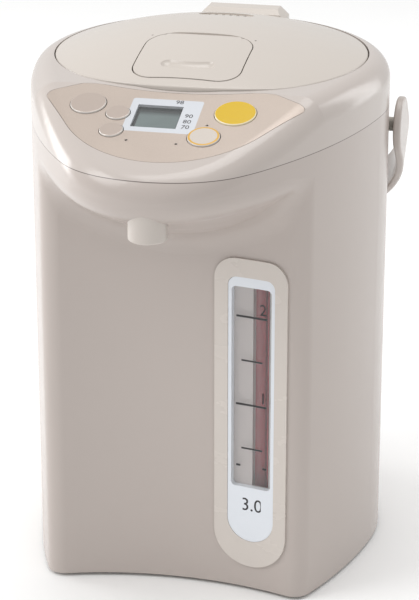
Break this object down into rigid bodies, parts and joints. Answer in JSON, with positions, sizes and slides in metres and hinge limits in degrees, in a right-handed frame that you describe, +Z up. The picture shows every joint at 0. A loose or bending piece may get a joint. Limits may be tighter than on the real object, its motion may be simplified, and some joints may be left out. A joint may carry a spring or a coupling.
{
  "type": "electric thermo pot",
  "caption": "electric water boiler and warmer with a beaked case, slanted control panel, pump outlet, water gauge, hinged domed lid with a press lever and a bail handle",
  "frame": {"origin": "at the level of the table, below the middle of the whole pot's length and width; the container's axis stands 22.9 mm behind it", "axes": "+Z up, parallel to the container's axis; the beak and the front face -Y; +X is to the right seen from the front"},
  "size_m": [0.2116, 0.2823, 0.302],
  "materials": {
    "shell": "glossy warm beige",
    "ring": "glossy cream",
    "lid": "glossy cream",
    "panel": "satin metallic taupe",
    "key": "pearl taupe",
    "yellow": "glossy yellow",
    "display": "grey-green display glass",
    "clear": "clear pane",
    "trim": "satin beige",
    "bezel": "pale blue-white",
    "plate": "grey",
    "red": "red band",
    "tube": "clear tube",
    "steel": "drawn steel",
    "pin": "plated steel",
    "rubber": "grey rubber",
    "silicone": "translucent silicone",
    "felt": "felt",
    "engineering": "off-white plastic",
    "dark": "black plastic",
    "board": "green laminate",
    "magnet": "ferrite",
    "mica": "mica",
    "brass": "plated brass"
  },
  "bodies": {
    "case": {"board_components": "dark", "body_shell": "shell", "bottom_cover": "engineering", "case_screws": "pin", "container_seal": "silicone", "control_board": "board", "control_panel": "panel", "foot_pads": "rubber", "gauge_bezel": "bezel", "gauge_plate": "plate", "gauge_trim": "trim", "gauge_window": "clear", "handle_pivots": "engineering", "heat_shield": "steel", "indicator_lenses": "clear", "inlet_contacts": "brass", "inner_container": "steel", "insulation_sleeve": "felt", "lcd_module": "display", "lcd_window": "clear", "lid_hinge_pin": "pin", "outlet_hose": "silicone", "plate_heater": "mica", "power_board": "board", "power_inlet": "dark", "pump_bracket": "engineering", "pump_housing": "engineering", "pump_motor": "steel", "sight_tube": "tube", "spout_nozzle": "engineering", "spout_pipe": "tube", "strainer": "steel", "suction_sleeve": "silicone", "tact_switches": "dark", "thermal_fuse": "engineering", "thermistor": "steel", "tip_over_valve": "engineering", "top_ring": "ring", "tube_backing": "red", "wire_harness": "dark"},
    "ball": {"valve_ball": "steel"},
    "lid": {"lid_cover": "lid", "hinge_block": "lid", "lever_pin": "pin", "lid_screws": "pin", "steam_vent_cap": "lid", "steam_chamber": "engineering", "lid_inner_plate": "steel", "lid_gasket": "silicone", "steam_inlet_cap": "engineering"},
    "lever": {"lid_lever": "lid"},
    "latch": {"lid_latch": "engineering"},
    "bail": {"handle": "shell"},
    "impeller": {"pump_impeller": "engineering"},
    "rotor": {"drive_rotor": "magnet"},
    "key_dispense": {"dispense_button": "yellow"},
    "key_unlock": {"unlock_button": "key"},
    "key_energy": {"energy_button": "key"},
    "key_reboil": {"reboil_button": "key"},
    "key_temperature": {"temperature_button": "key"}
  },
  "joints": [
    {"name": "lid_hinge", "type": "hinge", "parent": "case", "child": "lid", "pos_m": [0, 0.11239, 0.282], "axis": [-1, 0, 0], "range_deg": [0, 82]},
    {"name": "lever_hinge", "type": "hinge", "parent": "lid", "child": "lever", "pos_m": [0, 0.00289, 0.29844], "axis": [-1, 0, 0], "range_deg": [0, 22], "stiffness_Nm_per_rad": 0.05, "springref_deg": -34.38},
    {"name": "latch_slide", "type": "slide", "parent": "lid", "child": "latch", "axis": [0, 1, 0], "range_m": [0, 0.0045]},
    {"name": "bail_hinge", "type": "hinge", "parent": "case", "child": "bail", "pos_m": [0, 0.05089, 0.243], "axis": [1, 0, 0], "range_deg": [0, 140]},
    {"name": "impeller_spin", "type": "hinge", "parent": "case", "child": "impeller", "pos_m": [0.0381, -0.02511, 0.035], "axis": [0, 0, 1], "continuous": true},
    {"name": "rotor_spin", "type": "hinge", "parent": "case", "child": "rotor", "pos_m": [0.0381, -0.02511, 0.022], "axis": [0, 0, 1], "continuous": true},
    {"name": "ball_lift", "type": "slide", "parent": "case", "child": "ball", "axis": [0, 0, 1], "range_m": [0, 0.008]},
    {"name": "key_dispense_press", "type": "slide", "parent": "case", "child": "key_dispense", "axis": [0, 0.309, -0.9511], "range_m": [0, 0.0012], "stiffness_N_per_m": 900, "springref_m": -0.0006},
    {"name": "key_unlock_press", "type": "slide", "parent": "case", "child": "key_unlock", "axis": [0, 0.309, -0.9511], "range_m": [0, 0.0012], "stiffness_N_per_m": 900, "springref_m": -0.0006},
    {"name": "key_energy_press", "type": "slide", "parent": "case", "child": "key_energy", "axis": [0, 0.309, -0.9511], "range_m": [0, 0.0012], "stiffness_N_per_m": 900, "springref_m": -0.0006},
    {"name": "key_reboil_press", "type": "slide", "parent": "case", "child": "key_reboil", "axis": [0, 0.309, -0.9511], "range_m": [0, 0.0012], "stiffness_N_per_m": 900, "springref_m": -0.0006},
    {"name": "key_temperature_press", "type": "slide", "parent": "case", "child": "key_temperature", "axis": [0, 0.309, -0.9511], "range_m": [0, 0.0012], "stiffness_N_per_m": 900, "springref_m": -0.0006}
  ],
  "couplings": [
    {"joint": "latch_slide", "follows": "lever_hinge", "m_per_rad": 0.01172},
    {"joint": "impeller_spin", "follows": "rotor_spin", "ratio": 1}
  ]
}
